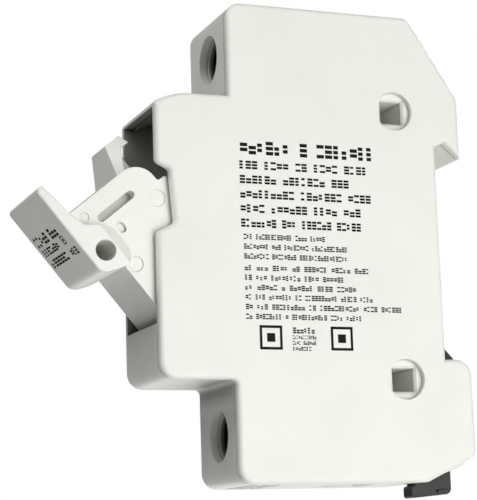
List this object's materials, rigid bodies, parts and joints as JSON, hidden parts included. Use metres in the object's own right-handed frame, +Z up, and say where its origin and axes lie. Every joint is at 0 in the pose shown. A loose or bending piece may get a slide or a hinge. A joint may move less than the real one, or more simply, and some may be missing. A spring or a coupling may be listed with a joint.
{
  "type": "cartridge fuse holder",
  "caption": "Single-pole rail-mounted holder for a cartridge fuse: two-part housing, hinged fuse carrier standing open, cage clamps with captive screws and a sprung rail clip.",
  "frame": {"origin": "centre of the rail seat plane: mid width of the 18 mm module, on the plane that rests on the rail's flanges, at the height of the rail's centre line", "axes": "+X across the width towards the side cover, +Y into the rail (out of the holder's back), +Z up along the module's length"},
  "size_m": [0.018, 0.072, 0.0789],
  "materials": {
    "shell_plastic": "satin moulded",
    "carrier_plastic": "satin moulded",
    "clip_plastic": "satin moulded",
    "tinned_copper": "tinned",
    "zinc_steel": "zinc plated",
    "spring_steel": "bright",
    "brass": "satin",
    "print_ink": "pad-printed ink"
  },
  "bodies": {
    "housing": {"body_shell": "shell_plastic", "side_cover": "shell_plastic", "upper_contact_jaw": "tinned_copper", "lower_contact_jaw": "tinned_copper", "upper_jaw_spring": "spring_steel", "lower_jaw_spring": "spring_steel", "upper_terminal_bar": "tinned_copper", "lower_terminal_bar": "tinned_copper", "upper_rivets": "brass", "lower_rivets": "brass", "din_clip_spring": "spring_steel"},
    "carrier": {"fuse_carrier": "carrier_plastic"},
    "clip": {"din_clip": "clip_plastic"},
    "upper_screw": {"upper_terminal_screw": "zinc_steel"},
    "lower_screw": {"lower_terminal_screw": "zinc_steel"},
    "upper_cage": {"upper_terminal_cage": "zinc_steel"},
    "lower_cage": {"lower_terminal_cage": "zinc_steel"}
  },
  "joints": [
    {"name": "carrier_hinge", "type": "hinge", "parent": "housing", "child": "carrier", "pos_m": [0, -0.043, -0.0075], "axis": [1, 0, 0], "range_deg": [-39.5, 0]},
    {"name": "din_clip_slide", "type": "slide", "parent": "housing", "child": "clip", "axis": [0, 0, -1], "range_m": [0, 0.0027], "stiffness_N_per_m": 1500, "springref_m": -0.002, "deforming": ["din_clip_spring"]},
    {"name": "upper_screw_turn", "type": "hinge", "parent": "housing", "child": "upper_screw", "pos_m": [0, -0.03, 0.0318], "axis": [0, 1, 0], "range_deg": [0, 2120]},
    {"name": "lower_screw_turn", "type": "hinge", "parent": "housing", "child": "lower_screw", "pos_m": [0, -0.03, -0.0294], "axis": [0, 1, 0], "range_deg": [0, 2120]},
    {"name": "upper_cage_slide", "type": "slide", "parent": "housing", "child": "upper_cage", "axis": [0, -1, 0], "range_m": [0, 0.0047]},
    {"name": "lower_cage_slide", "type": "slide", "parent": "housing", "child": "lower_cage", "axis": [0, -1, 0], "range_m": [0, 0.0047]}
  ],
  "couplings": [
    {"joint": "upper_screw_turn", "follows": "upper_cage_slide", "rad_per_m": 7854},
    {"joint": "lower_screw_turn", "follows": "lower_cage_slide", "rad_per_m": 7854}
  ]
}
